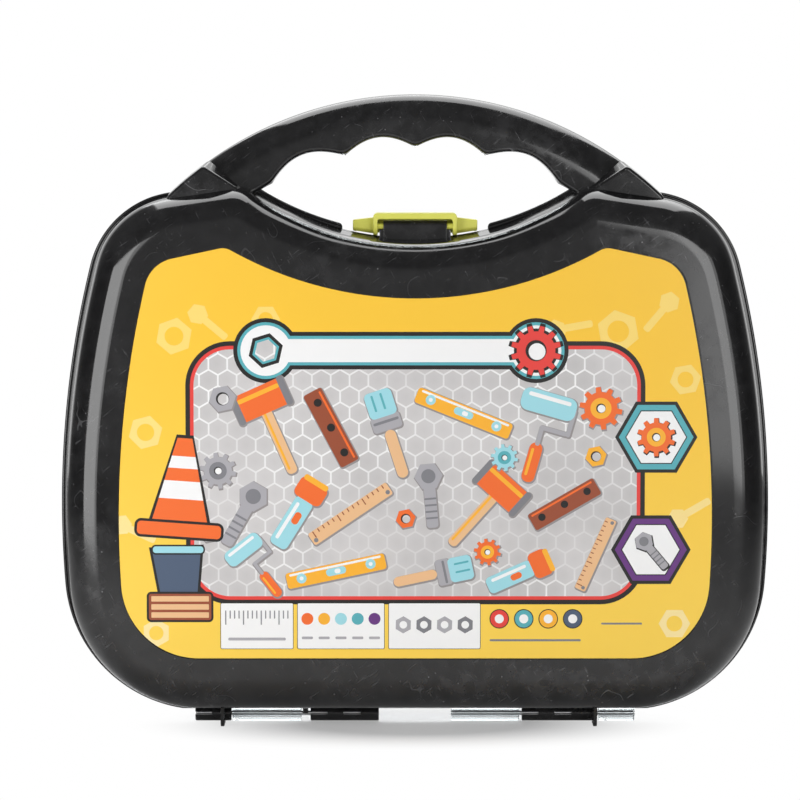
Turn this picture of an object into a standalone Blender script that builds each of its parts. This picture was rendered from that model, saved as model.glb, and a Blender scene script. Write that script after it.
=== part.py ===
"""Toy tool box: a carry case of two half shells that open like a book.

The front half is black and holds a printed label; the rear half is clear. Both carry one half
of the handle, a latch block on the saddle under it and one half of two long hinges at the
bottom. A lime latch turns on two stubs in the front block and hooks over the rear block. Two
steel pins join the hinges. Metres, +Z up, +X right, the label faces -Y, and the parting plane
is y = 0. The case stands on four thin feet, at z = 0.
"""

from math import atan2, cos, pi, radians, sin, sqrt

import bmesh
import bpy
from mathutils import Matrix, Vector

# Whole case
CASE_WIDTH = 0.3004  # over the flanges
CASE_DEPTH = 0.070  # front face to rear face
FLANGE_BOTTOM = 0.0052  # lowest line of the flanges' outline, above the feet
FLANGE_TRIM = 0.0060  # the flanges are cut off straight at this height
SADDLE_HEIGHT = 0.2090  # top of the flanges, under the middle of the handle
WAIST_SHARE = 0.44  # height of the widest place, of the saddle's
GAP = 0.0003  # clearance between two pieces
OVERRUN = 0.002  # how far a cutter runs past what it cuts
SAME_POINT = 0.00003  # nearer points of an outline are one

# Outline, seen from the front
SIDE_RADIUS = 0.425
BOTTOM_CORNER_RADIUS = 0.059
TOP_CORNER_RADIUS = 0.041
PEAK_RADIUS = 0.018
PEAK_SHARE = 0.4989  # place of the peaks' middles, of the half width
SHOULDER_SLOPE = radians(8.7)
SADDLE_ANGLE = radians(31.6)

# Section through a shell
WALL = 0.0020
FLANGE_OVERHANG = 0.00345
FLANGE_THICKNESS = 0.0028
FLANGE_EDGE = 0.0005
DRAFT_INSET = 0.0006
FACE_FILLET = 0.0120

# Label and the field it lies in
LABEL_THICKNESS = 0.0004
LABEL_BELOW_FACE = 0.0002
LABEL_SIDE_MARGIN = 0.0269  # flange edge to label edge
LABEL_BOTTOM_MARGIN = 0.0272
LABEL_SADDLE_MARGIN = 0.0264
LABEL_SIDE_RADIUS = 0.431
LABEL_BOTTOM_RADIUS = 0.0323
LABEL_TOP_RADIUS = 0.0145
LABEL_PEAK_RADIUS = 0.007
LABEL_PEAK_OUT = 0.0048  # further out than the flange's peak
LABEL_SHOULDER_SLOPE = radians(12)
LABEL_SADDLE_ANGLE = radians(29.2)
LABEL_WAIST_SHARE = 0.428

# Handle
HANDLE_RISE = 0.0582  # saddle to the top of the handle
HANDLE_SINK = 0.0007  # how far under the heels the arch's outer line ends
HANDLE_HALF_DEPTH = 0.0125
HANDLE_CROWN = 0.0008
HANDLE_SIDE = 0.0015  # straight part of the section's outer side, below its large round
GRIP_EDGE = 0.0030
GRIP_THICKNESS = 0.0222
FINGER_PITCHES = (0.0298, 0.0333)  # from the middle outwards
FINGER_DEPTHS = (0.0050, 0.0056)
GUSSET_DEPTH = 0.0220  # parting plane to the gusset's front
GUSSET_TOP = 0.0124  # width of its slanted end, seen from the front
GUSSET_RAKE = 0.0022
GUSSET_SKIN = 0.0028

# Latch and the blocks it joins
BLOCK_WIDTH = 0.0268
BLOCK_ROUND = 0.0023  # about the latch's axis
LATCH_AXIS_Y = 0.0055  # in front of the parting plane
LATCH_AXIS_ABOVE_SADDLE = 0.0027
STUB_RADIUS = 0.0012
STUB_IN_BLOCK = 0.0025
BAND_THICKNESS = 0.0026
LATCH_CLEARANCE = 0.0007
POST_GAP = 0.0024
POST_THICKNESS = 0.0019
POST_BELOW_AXIS = 0.0038
HOOK_THICKNESS = 0.0016
HOOK_BELOW_AXIS = 0.0031
WING_LENGTH = 0.0086
WING_HALF_DEPTH = 0.0045
WING_WALL = 0.0014
WING_ROOT_TOP = 0.0038
WING_ROOT_BOTTOM = -0.0030
WING_TIP_TOP = 0.0025
WING_TIP_BOTTOM = -0.0017
LIP_GAP = 0.0615  # the flange is cut away under the latch
LIP_BEAD = 0.0003
LIP_ROUND = 0.0014

# Hinges: lengths along X, from the outer end inwards, as shares of the hinge's reach
HINGE_AXIS_HEIGHT = 0.0037
KNUCKLE_RADIUS = 0.0034
PIN_RADIUS = 0.0012
BORE_CLEARANCE = 0.0003
REACH_SHARE = 0.6245  # middle of the case to a hinge's outer end, of the half width
OUTER_KNUCKLE_SHARE = 0.1642
MIDDLE_KNUCKLE_SHARE = 0.3443
INNER_KNUCKLE_SHARE = 0.3113
KNUCKLE_GAP = 0.0005
INNER_GAP = 0.0010
PIN_INSET = 0.0004
KEEPER_LENGTH = 0.0023
KEEPER_RADIUS = 0.0022
KEEPER_GAP = 0.0006
WINDOW_LENGTH = 0.0072
WINDOW_HEIGHT = 0.0013
WINDOW_SPACE = 0.0143  # start of one window to the start of the next
WINDOW_LIFT = 0.0003

# Feet
FOOT_THICKNESS = 0.0015
FOOT_REACH = 0.0160
FOOT_ROOT = 0.0035
FOOT_NECK = 0.0028
FOOT_ROUND = 0.0030
FOOT_HOLD_SHARE = 0.85  # how far out a foot's neck starts, of the knuckle's radius
OUTER_FOOT_SHARE = 0.79  # place along the outer knuckle
MIDDLE_FOOT_INSET = 0.0016  # from the middle knuckle's outer end

# Facets
CORNER_STEPS = 11
SIDE_STEPS = 9
TOP_STEPS = 10
PEAK_STEPS = 5
SADDLE_STEPS = 9
FILLET_STEPS = 5
FINGER_STEPS = 8
ROOT_STEPS = 5
QUARTER_STEPS = 3
HANDLE_STEPS = 6
BLOCK_STEPS = 6
NOSE_STEPS = 4
ROUND_SIDES = 16

# Worked out from the sizes above
HALF_WIDTH = CASE_WIDTH / 2
HALF_DEPTH = CASE_DEPTH / 2
PARTING = GAP / 2
PEAK_PLACE = HALF_WIDTH * PEAK_SHARE
SADDLE_RADIUS = PEAK_PLACE / sin(SADDLE_ANGLE) - PEAK_RADIUS
LABEL_PEAK_PLACE = PEAK_PLACE + LABEL_PEAK_OUT
LABEL_SADDLE_RADIUS = LABEL_PEAK_PLACE / sin(LABEL_SADDLE_ANGLE) - LABEL_PEAK_RADIUS
HINGE_REACH = HALF_WIDTH * REACH_SHARE
OUTER_KNUCKLE = HINGE_REACH * OUTER_KNUCKLE_SHARE
MIDDLE_KNUCKLE = HINGE_REACH * MIDDLE_KNUCKLE_SHARE
INNER_KNUCKLE = HINGE_REACH * INNER_KNUCKLE_SHARE
MIDDLE_END = HINGE_REACH - OUTER_KNUCKLE - KNUCKLE_GAP
INNER_START = MIDDLE_END - MIDDLE_KNUCKLE - INNER_GAP
RECESS_DEPTH = LABEL_BELOW_FACE + LABEL_THICKNESS + GAP
HANDLE_TOP = SADDLE_HEIGHT + HANDLE_RISE
HANDLE_ROUND = HANDLE_HALF_DEPTH - HANDLE_SIDE
LATCH_AXIS = SADDLE_HEIGHT + LATCH_AXIS_ABOVE_SADDLE
NOTCH_TOP = HINGE_AXIS_HEIGHT + KNUCKLE_RADIUS + GAP

CASE_EDGE = {
    "half_width": HALF_WIDTH,
    "bottom": FLANGE_BOTTOM,
    "waist": SADDLE_HEIGHT * WAIST_SHARE,
    "saddle": SADDLE_HEIGHT,
    "side_radius": SIDE_RADIUS,
    "bottom_radius": BOTTOM_CORNER_RADIUS,
    "top_radius": TOP_CORNER_RADIUS,
    "peak_radius": PEAK_RADIUS,
    "shoulder_slope": SHOULDER_SLOPE,
    "saddle_radius": SADDLE_RADIUS,
    "saddle_angle": SADDLE_ANGLE,
}
LABEL_EDGE = {
    "half_width": HALF_WIDTH - LABEL_SIDE_MARGIN,
    "bottom": FLANGE_BOTTOM + LABEL_BOTTOM_MARGIN,
    "waist": SADDLE_HEIGHT * LABEL_WAIST_SHARE,
    "saddle": SADDLE_HEIGHT - LABEL_SADDLE_MARGIN,
    "side_radius": LABEL_SIDE_RADIUS,
    "bottom_radius": LABEL_BOTTOM_RADIUS,
    "top_radius": LABEL_TOP_RADIUS,
    "peak_radius": LABEL_PEAK_RADIUS,
    "shoulder_slope": LABEL_SHOULDER_SLOPE,
    "saddle_radius": LABEL_SADDLE_RADIUS,
    "saddle_angle": LABEL_SADDLE_ANGLE,
}


# Outlines

def edge_arcs(edge):
    """The arcs of an outline's right half, from the bottom to the saddle's middle.

    Each is (centre, radius, first angle, last angle, steps, side), where side is -1 on the
    saddle, which is hollow. Straight runs lie between one arc's end and the next one's start.
    """
    side_radius = edge["side_radius"]
    side = Vector((edge["half_width"] - side_radius, edge["waist"]))
    bottom_radius = edge["bottom_radius"]
    rise = edge["bottom"] + bottom_radius - side.y
    run = sqrt((side_radius - bottom_radius) ** 2 - rise ** 2)
    bottom = Vector((side.x + run, side.y + rise))

    angle, radius = edge["saddle_angle"], edge["saddle_radius"]
    saddle = Vector((0, edge["saddle"] + radius))
    peak_radius = edge["peak_radius"]
    peak = saddle + (radius + peak_radius) * Vector((sin(angle), -cos(angle)))

    slope, top_radius = edge["shoulder_slope"], edge["top_radius"]
    normal = Vector((sin(slope), cos(slope)))
    along = Vector((cos(slope), -sin(slope)))
    start = peak + (peak_radius - top_radius) * normal - side
    half = start.dot(along)
    reach = sqrt(half ** 2 - start.length_squared + (side_radius - top_radius) ** 2) - half
    top = side + start + reach * along

    low = atan2(bottom.y - side.y, bottom.x - side.x)
    high = atan2(top.y - side.y, top.x - side.x)
    shoulder = pi / 2 - slope
    return [
        (bottom, bottom_radius, -pi / 2, low, CORNER_STEPS, 1),
        (side, side_radius, low, high, SIDE_STEPS, 1),
        (top, top_radius, high, shoulder, TOP_STEPS, 1),
        (peak, peak_radius, shoulder, pi / 2 + angle, PEAK_STEPS, 1),
        (saddle, radius, angle - pi / 2, -pi / 2, SADDLE_STEPS, -1),
    ]


def outline(edge, grow=0.0):
    """The closed outline as (x, z) points, moved outwards by grow, anticlockwise from the front."""
    half = []
    for centre, radius, first, last, steps, side in edge_arcs(edge):
        for i in range(steps + 1):
            angle = first + (last - first) * i / steps
            point = centre + (radius + side * grow) * Vector((cos(angle), sin(angle)))
            if not half or (point - half[-1]).length > SAME_POINT:
                half.append(point)
    right = [(p.x, p.y) for p in half]
    left = [(-x, z) for x, z in reversed(right) if x > SAME_POINT]
    return right + left


def shoulder_height(x, grow=0.0):
    """Height of the case's shoulder line at x, moved outwards by grow."""
    peak, radius = edge_arcs(CASE_EDGE)[3][:2]
    slope = SHOULDER_SLOPE
    foot = peak + (radius + grow) * Vector((sin(slope), cos(slope)))
    return foot.y - (abs(x) - foot.x) * sin(slope) / cos(slope)


def saddle_height(x, grow=0.0):
    """Height of the saddle at x, moved outwards by grow."""
    centre, radius = edge_arcs(CASE_EDGE)[4][:2]
    return centre.y - sqrt((radius - grow) ** 2 - x ** 2)


def heel():
    """Where the right shoulder's straight run ends and the top corner starts."""
    centre, radius, _, shoulder = edge_arcs(CASE_EDGE)[2][:4]
    return centre + radius * Vector((cos(shoulder), sin(shoulder)))


def handle_arch():
    """Height of the centre of the handle's outer arc, and its radius."""
    drop = HANDLE_TOP - heel().y + HANDLE_SINK
    radius = (heel().x ** 2 + drop ** 2) / (2 * drop)
    return HANDLE_TOP - radius, radius


def ray(angle, inwards=0.0):
    """A point on the handle's outer arc, at an angle from its top, moved towards its centre."""
    hub, radius = handle_arch()
    return Vector(((radius - inwards) * sin(angle), hub + (radius - inwards) * cos(angle)))


def arc_at(x):
    """The point on the handle's outer arc at x."""
    hub, radius = handle_arch()
    return Vector((x, hub + sqrt(radius ** 2 - x ** 2)))


def quarter(steps):
    """Angles from zero to a quarter turn."""
    return [pi / 2 * i / steps for i in range(steps + 1)]


def shrink(points, inset):
    """An anticlockwise polygon with each side moved inwards by inset."""
    count = len(points)
    sides = [(points[i], points[(i + 1) % count] - points[i]) for i in range(count)]
    lines = []
    for start, along in sides:
        inwards = Vector((-along.y, along.x)).normalized()
        lines.append((start + inset * inwards, along))
    corners = []
    for (p, u), (q, v) in zip(lines[-1:] + lines[:-1], lines):
        cross = u.x * v.y - u.y * v.x
        reach = ((q.x - p.x) * v.y - (q.y - p.y) * v.x) / cross
        corners.append(p + reach * u)
    return corners


# Solids

def new_object(name, bm):
    """An object from a bmesh, with its faces pointing out."""
    bmesh.ops.recalc_face_normals(bm, faces=bm.faces)
    mesh = bpy.data.meshes.new(name)
    bm.to_mesh(mesh)
    bm.free()
    thing = bpy.data.objects.new(name, mesh)
    bpy.context.collection.objects.link(thing)
    return thing


def loft(name, rings, closed=False):
    """A solid through rings of equally many points, with both ends capped or joined."""
    bm = bmesh.new()
    loops = [[bm.verts.new(point) for point in ring] for ring in rings]
    pairs = list(zip(loops, loops[1:] + loops[:1] if closed else loops[1:]))
    for one, two in pairs:
        for i in range(len(one)):
            j = (i + 1) % len(one)
            bm.faces.new((one[i], one[j], two[j], two[i]))
    if not closed:
        bm.faces.new(loops[0])
        bm.faces.new(reversed(loops[-1]))
    return new_object(name, bm)


def slab(name, points, front, back):
    """A flat piece from (x, z) points, between two depths along Y."""
    return loft(name, [[(x, y, z) for x, z in points] for y in (front, back)])


def rod(name, points, left, right):
    """A piece of constant section from (y, z) points, between two places along X."""
    return loft(name, [[(x, y, z) for y, z in points] for x in (left, right)])


def box(name, low, high):
    """A box between two corners."""
    (x0, y0, z0), (x1, y1, z1) = low, high
    return rod(name, [(y0, z0), (y1, z0), (y1, z1), (y0, z1)], x0, x1)


def circle(y, z, radius, sides=ROUND_SIDES):
    """Points of a circle in a (y, z) section, with flats at its top and bottom."""
    turn = pi / sides
    return [
        (y + radius * cos(turn + 2 * pi * i / sides), z + radius * sin(turn + 2 * pi * i / sides))
        for i in range(sides)
    ]


def join(body, tool, operation="UNION"):
    """Applies a Boolean of tool to body, and removes tool."""
    step = body.modifiers.new("step", "BOOLEAN")
    step.operation = operation
    step.solver = "EXACT"
    step.object = tool
    bpy.context.view_layer.objects.active = body
    bpy.ops.object.modifier_apply(modifier=step.name)
    mesh = tool.data
    bpy.data.objects.remove(tool)
    bpy.data.meshes.remove(mesh)
    return body


def cut(body, tool):
    """Takes tool away from body."""
    return join(body, tool, "DIFFERENCE")


# Shells. Each is modelled as the front half; the rear half is turned about Z afterwards.

def shell_tray(with_recess):
    """The open tray: flange, drafted wall, round edge and face, in one skin of even thickness."""
    root = FLANGE_OVERHANG
    brow = FLANGE_OVERHANG + DRAFT_INSET
    deep = HALF_DEPTH - FACE_FILLET
    steps = quarter(FILLET_STEPS)

    outside = [(brow + FACE_FILLET * (1 - cos(a)), deep + FACE_FILLET * sin(a)) for a in steps]
    flange = [
        (root, FLANGE_THICKNESS),
        (FLANGE_EDGE, FLANGE_THICKNESS),
        (0, FLANGE_THICKNESS - FLANGE_EDGE),
        (0, PARTING),
    ]
    bend = FACE_FILLET - WALL
    inside = [(root + WALL, PARTING)]
    inside += [(brow + WALL + bend * (1 - cos(a)), deep + bend * sin(a)) for a in steps]

    sections = list(reversed(outside)) + flange + inside
    rings = [[(x, -y, z) for x, z in outline(CASE_EDGE, -inset)] for inset, y in sections]
    if with_recess:
        field = outline(LABEL_EDGE, GAP)
        floor = HALF_DEPTH - RECESS_DEPTH
        rings = [[(x, -y, z) for x, z in field] for y in (floor, HALF_DEPTH)] + rings
    return loft("tray", rings)


def case_core(inset, name):
    """A cutter that fills the tray up to an inset from the flange's edge."""
    return slab(name, outline(CASE_EDGE, -inset), -HALF_DEPTH - OVERRUN, OVERRUN)


def grip_section(thickness):
    """The handle half's hollow section: (inwards, depth) points from the arch to the fingers."""
    front = HANDLE_HALF_DEPTH

    def outer_round(radius):
        middle = front - HANDLE_ROUND
        return [
            (HANDLE_ROUND - radius * cos(a), middle + radius * sin(a))
            for a in quarter(HANDLE_STEPS)
        ]

    grip_round = [
        (thickness - GRIP_EDGE * (1 - sin(a)), front - GRIP_EDGE * (1 - cos(a)))
        for a in quarter(QUARTER_STEPS)
    ]
    crown = [((HANDLE_ROUND + thickness - GRIP_EDGE) / 2, front + HANDLE_CROWN)]
    back = [(thickness, PARTING), (thickness - WALL, PARTING)]
    channel = [
        (thickness - WALL, front - GRIP_EDGE),
        (thickness - GRIP_EDGE, front - WALL),
        *reversed(outer_round(HANDLE_ROUND - WALL)),
        (WALL, PARTING),
    ]
    return [(0, PARTING)] + outer_round(HANDLE_ROUND) + crown + grip_round + back + channel


def handle_bar():
    """The curved bar with its finger rests, with ends that run on into the tray."""
    hub, radius = handle_arch()
    grip_radius = radius - GRIP_THICKNESS
    stations = [(0, GRIP_THICKNESS)]
    start = 0
    for pitch, depth in zip(FINGER_PITCHES, FINGER_DEPTHS):
        for i in range(1, FINGER_STEPS + 1):
            share = i / FINGER_STEPS
            angle = (start + share * pitch) / grip_radius
            stations.append((angle, GRIP_THICKNESS - depth * sin(pi * share)))
        start += pitch
    last = start / grip_radius
    root = atan2(heel().x, heel().y - hub)
    for i in range(1, ROOT_STEPS + 1):
        stations.append((last + (root - last) * i / ROOT_STEPS, GRIP_THICKNESS))
    stations = [(-angle, size) for angle, size in reversed(stations[1:])] + stations

    rings = []
    for angle, thickness in stations:
        places = [(ray(angle, inwards), y) for inwards, y in grip_section(thickness)]
        rings.append([(point.x, -y, point.y) for point, y in places])
    return loft("handle", rings)


def gusset_profile(rake):
    """A gusset's right-hand (x, z) points, anticlockwise, with its top sides moved in by rake."""
    peak = edge_arcs(CASE_EDGE)[3][0]
    end = heel()
    toe = Vector((peak.x + rake / 2, shoulder_height(peak.x, -FLANGE_OVERHANG)))
    head = peak.x + GUSSET_TOP + rake
    run = [arc_at(end.x + (head - end.x) * i / ROOT_STEPS) for i in range(ROOT_STEPS + 1)]
    below = [toe - Vector((0, FACE_FILLET)), end - Vector((0, FACE_FILLET))]
    return [toe] + below + [p - Vector((0, rake / 2)) for p in run]


def gusset(side):
    """The deep wedge at one root of the handle, a little smaller at its front than at its root."""
    depths = ((HANDLE_HALF_DEPTH - WALL, 0), (GUSSET_DEPTH, GUSSET_RAKE))
    rings = [[(side * p.x, -y, p.y) for p in gusset_profile(rake)] for y, rake in depths]
    return loft("gusset", rings)


def gusset_pocket(side):
    """The hollow inside one gusset, open through the handle's channel."""
    points = [(side * p.x, p.y) for p in shrink(gusset_profile(GUSSET_RAKE), GUSSET_SKIN)]
    return slab("pocket", points, -GUSSET_DEPTH + WALL, -HANDLE_HALF_DEPTH + 2 * WALL)


def lip_gap():
    """Cuts the flange down to a low bead under the latch, with its ends rounded."""
    half = LIP_GAP / 2
    floor = LIP_BEAD - FLANGE_OVERHANG
    across = [half * (i / SADDLE_STEPS * 2 - 1) for i in range(SADDLE_STEPS + 1)]
    bottom = [(x, saddle_height(x, floor)) for x in across]
    ends = []
    for turn in quarter(QUARTER_STEPS):
        out = LIP_ROUND * (1 - cos(turn))
        down = LIP_ROUND * (1 - sin(turn))
        ends.append((half + out, saddle_height(half + out) - down))
    high = SADDLE_HEIGHT + LIP_GAP / 2
    right = ends + [(ends[-1][0], high)]
    left = [(-x, z) for x, z in reversed(right)]
    return slab("lip gap", bottom + right + left, -FLANGE_THICKNESS - OVERRUN, OVERRUN)


def latch_block():
    """The block that holds the latch's stubs, round about their axis at the front."""
    base = saddle_height(0, -FLANGE_OVERHANG) - WALL / 2
    front = -LATCH_AXIS_Y
    points = [(-PARTING, base), (front - BLOCK_ROUND, base)]
    for turn in quarter(BLOCK_STEPS):
        points.append((front - BLOCK_ROUND * cos(turn), LATCH_AXIS + BLOCK_ROUND * sin(turn)))
    points.append((-PARTING, LATCH_AXIS + BLOCK_ROUND))
    block = rod("block", points, -BLOCK_WIDTH / 2, BLOCK_WIDTH / 2)
    for side in (-1, 1):
        hole = circle(front, LATCH_AXIS, STUB_RADIUS + GAP)
        ends = sorted((side * (BLOCK_WIDTH / 2 - STUB_IN_BLOCK - GAP), side * BLOCK_WIDTH))
        cut(block, rod("stub hole", hole, *ends))
    return block


# Hinges

def knuckle_spans(is_front):
    """A half's knuckles along X, as (start, end), in its own frame.

    The rear half's middle knuckle is shorter, which leaves room for the front half's keeper.
    """
    outer = (-HINGE_REACH, OUTER_KNUCKLE - HINGE_REACH)
    inner = (-INNER_START, INNER_KNUCKLE - INNER_START)
    middle = MIDDLE_END - MIDDLE_KNUCKLE + (0 if is_front else KEEPER_LENGTH + KEEPER_GAP)
    return [outer, inner, (middle, MIDDLE_END)]


def keeper_span():
    """Where the front half's pin keeper stands, between two knuckles."""
    end = MIDDLE_KNUCKLE - MIDDLE_END
    return end - KEEPER_LENGTH, end


def notch_spans(is_front):
    """The stretches of flange that make room for the other half's knuckles."""
    (outer, outer_end), (inner, inner_end), (middle, middle_end) = knuckle_spans(is_front)
    return [(outer_end, inner), (-inner_end - KNUCKLE_GAP, middle), (middle_end, -outer + GAP)]


def windows(start, end):
    """Where a knuckle's windows start: they show the pin, and the first is open at its end."""
    count = int((end - start - WINDOW_LENGTH) / WINDOW_SPACE) + 1
    return [start + i * WINDOW_SPACE for i in range(count)]


def add_hinge(shell, is_front):
    """Knuckles, bores, windows and feet, and notches for the other half's knuckles."""
    for start, end in notch_spans(is_front):
        low = (start, -FLANGE_THICKNESS - OVERRUN, FLANGE_BOTTOM - OVERRUN)
        cut(shell, box("notch", low, (end, OVERRUN, NOTCH_TOP)))
    for start, end in knuckle_spans(is_front):
        join(shell, rod("knuckle", circle(0, HINGE_AXIS_HEIGHT, KNUCKLE_RADIUS), start, end))
    if is_front:
        start, end = keeper_span()
        neck = [
            (-PARTING, HINGE_AXIS_HEIGHT),
            (-KEEPER_RADIUS - PARTING, HINGE_AXIS_HEIGHT),
            (-FLANGE_THICKNESS, hanger_top()),
            (-PARTING, hanger_top()),
        ]
        join(shell, rod("keeper", neck, start, end))
    for x in feet_places():
        join(shell, foot(x))
    bore = circle(0, HINGE_AXIS_HEIGHT, PIN_RADIUS + BORE_CLEARANCE)
    for start, end in knuckle_spans(is_front):
        cut(shell, rod("bore", bore, start - GAP, end + GAP))
        low_edge = HINGE_AXIS_HEIGHT + WINDOW_LIFT - WINDOW_HEIGHT / 2
        for place in windows(start, end):
            low = (place - GAP, -KNUCKLE_RADIUS - OVERRUN, low_edge)
            high = (place + WINDOW_LENGTH, 0, low_edge + WINDOW_HEIGHT)
            cut(shell, box("window", low, high))
    if is_front:
        start, end = keeper_span()
        cut(shell, rod("keeper bore", bore, start - GAP, end + GAP))
    return shell


def hanger_top():
    """Height at which a piece hung over a notch is well inside the wall."""
    return NOTCH_TOP + WALL / 2


def feet_places():
    """Middles of a half's two feet along X."""
    outer, _, middle = knuckle_spans(True)
    return [outer[0] + OUTER_KNUCKLE * OUTER_FOOT_SHARE, middle[1] - MIDDLE_FOOT_INSET]


def foot(x):
    """A thin foot under the wall, joined to the knuckle behind it by a short neck."""
    top = FLANGE_BOTTOM + FLANGE_OVERHANG + WALL / 2
    turns = quarter(QUARTER_STEPS)
    toe = [(-FOOT_REACH + FOOT_ROUND * (1 - sin(a)), FOOT_ROUND * (1 - cos(a))) for a in turns]
    neck = [
        (-FOOT_ROOT, HINGE_AXIS_HEIGHT + FOOT_NECK / 2),
        (-KNUCKLE_RADIUS * FOOT_HOLD_SHARE, HINGE_AXIS_HEIGHT + FOOT_NECK / 2),
        (-KNUCKLE_RADIUS * FOOT_HOLD_SHARE, HINGE_AXIS_HEIGHT - FOOT_NECK / 2),
        (-FOOT_ROOT, HINGE_AXIS_HEIGHT - FOOT_NECK / 2),
    ]
    points = [(-FOOT_ROOT, 0)] + toe + [(-FOOT_REACH, top), (-FOOT_ROOT, top)] + neck
    return rod("foot", points, x - FOOT_THICKNESS / 2, x + FOOT_THICKNESS / 2)


def build_shell(name, is_front):
    """One half of the case, in one piece as it is moulded."""
    shell = shell_tray(is_front)
    shell.name = name
    shell.data.name = name
    cut(shell, lip_gap())
    low = (-CASE_WIDTH, -FLANGE_THICKNESS - OVERRUN, 0)
    cut(shell, box("trim", low, (CASE_WIDTH, OVERRUN, FLANGE_TRIM)))
    bar = handle_bar()
    for side in (-1, 1):
        join(bar, gusset(side))
    for side in (-1, 1):
        cut(bar, gusset_pocket(side))
    cut(bar, case_core(FLANGE_OVERHANG + WALL / 2, "core"))
    join(shell, bar)
    join(shell, latch_block())
    add_hinge(shell, is_front)
    return shell


# Other pieces

def build_label():
    """The printed label, in its field on the front face."""
    front = -HALF_DEPTH + LABEL_BELOW_FACE
    return slab("label", outline(LABEL_EDGE), front, front + LABEL_THICKNESS)


def wing(side):
    """One finger wing of the latch: a hollow tab, open below, that narrows outwards."""
    root = BLOCK_WIDTH / 2 + POST_GAP + POST_THICKNESS / 2
    tip = BLOCK_WIDTH / 2 + POST_GAP + POST_THICKNESS + WING_LENGTH

    def tab(inner, outer, drop, sag, wall):
        deep = WING_HALF_DEPTH - wall
        rings = []
        for x, top, bottom in (
            (inner, WING_ROOT_TOP, WING_ROOT_BOTTOM),
            (outer, WING_TIP_TOP, WING_TIP_BOTTOM),
        ):
            low, high = LATCH_AXIS + bottom - sag, LATCH_AXIS + top - drop
            rings.append(
                [(side * x, -deep, low), (side * x, deep, low), (side * x, deep, high),
                 (side * x, -deep, high)]
            )
        return loft("wing", rings)

    outside = tab(root, tip, 0, 0, 0)
    inner_root = root + POST_THICKNESS / 2
    return cut(outside, tab(inner_root, tip - WING_WALL, WING_WALL, OVERRUN, WING_WALL))


def build_latch():
    """The latch: a band over both blocks, two posts with stubs, a hook behind and two wings."""
    inner = BLOCK_WIDTH / 2 + POST_GAP
    outer = inner + POST_THICKNESS
    axis_y = -LATCH_AXIS_Y
    roof = LATCH_AXIS + BLOCK_ROUND + LATCH_CLEARANCE
    hook = LATCH_AXIS_Y + BLOCK_ROUND + LATCH_CLEARANCE
    front = axis_y - BLOCK_ROUND - LATCH_CLEARANCE
    back = hook + HOOK_THICKNESS
    top = roof + BAND_THICKNESS
    edge = BAND_THICKNESS / 3

    band = [(front, roof), (back, roof), (back, top - edge), (back - edge, top)]
    band += [(front + edge, top), (front, top - edge)]
    latch = rod("latch", band, -outer, outer)

    bottom = LATCH_AXIS - POST_BELOW_AXIS
    nose = [
        (axis_y + (front - axis_y) * sin(a), LATCH_AXIS - POST_BELOW_AXIS * cos(a))
        for a in quarter(NOSE_STEPS)
    ]
    post = nose + [(front, roof + edge), (back, roof + edge), (back, bottom)]
    for side in (-1, 1):
        join(latch, rod("post", post, *sorted((side * inner, side * outer))))
        join(latch, wing(side))
        tip = side * (BLOCK_WIDTH / 2 - STUB_IN_BLOCK)
        stub = circle(axis_y, LATCH_AXIS, STUB_RADIUS)
        join(latch, rod("stub", stub, *sorted((tip, side * (inner + POST_THICKNESS / 2)))))
    hook_low = LATCH_AXIS - HOOK_BELOW_AXIS
    half = inner + POST_THICKNESS / 2
    join(latch, box("hook", (-half, hook, hook_low), (half, back, roof + edge)))
    return latch


def build_pin(name, side):
    """A steel pin through one hinge."""
    spans = [x for span in knuckle_spans(True) for x in span]
    inner = min(abs(x) for x in spans) + PIN_INSET
    ends = sorted((side * (HINGE_REACH - PIN_INSET), side * inner))
    return rod(name, circle(0, HINGE_AXIS_HEIGHT, PIN_RADIUS), *ends)


# Materials and placing

def material(name, colour, roughness, metallic=0.0, alpha=1.0, coat=0.0):
    """A Principled material."""
    made = bpy.data.materials.new(name)
    made.use_nodes = True
    shader = made.node_tree.nodes["Principled BSDF"]
    shader.inputs["Base Color"].default_value = (*colour, 1)
    shader.inputs["Roughness"].default_value = roughness
    shader.inputs["Metallic"].default_value = metallic
    shader.inputs["Alpha"].default_value = alpha
    shader.inputs["Coat Weight"].default_value = coat
    return made


def place_origin(thing, x, y, z):
    """Moves an object's origin to a point, and its mesh the other way."""
    thing.data.transform(Matrix.Translation((-x, -y, -z)))
    thing.location = (x, y, z)


def finish(thing, surface):
    """Gives a piece its material and smooth round faces."""
    thing.data.materials.clear()
    thing.data.materials.append(surface)
    for face in thing.data.polygons:
        face.material_index = 0
    thing.data.shade_smooth()
    thing.data.set_sharp_from_angle(angle=radians(35))


def build():
    """The whole tool box, closed and standing."""
    for thing in list(bpy.data.objects):
        bpy.data.objects.remove(thing)

    front = build_shell("front_shell", True)
    finish(front, material("black_plastic", (0.012, 0.012, 0.013), 0.16, coat=0.3))

    rear = build_shell("rear_cover", False)
    finish(rear, material("clear_plastic", (0.86, 0.88, 0.88), 0.06, alpha=0.35))
    rear.data.transform(Matrix.Rotation(pi, 4, "Z"))
    place_origin(rear, 0, 0, HINGE_AXIS_HEIGHT)

    label = build_label()
    finish(label, material("label_print", (1.0, 0.62, 0.12), 0.35))

    latch = build_latch()
    finish(latch, material("lime_plastic", (0.68, 0.70, 0.10), 0.30))
    place_origin(latch, 0, -LATCH_AXIS_Y, LATCH_AXIS)

    for name, side in (("hinge_pin_left", -1), ("hinge_pin_right", 1)):
        steel = material("pin_steel", (0.62, 0.62, 0.63), 0.28, metallic=1.0)
        finish(build_pin(name, side), steel)


build()
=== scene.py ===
from math import atan2, cos, pi, radians, sin, sqrt

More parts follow.
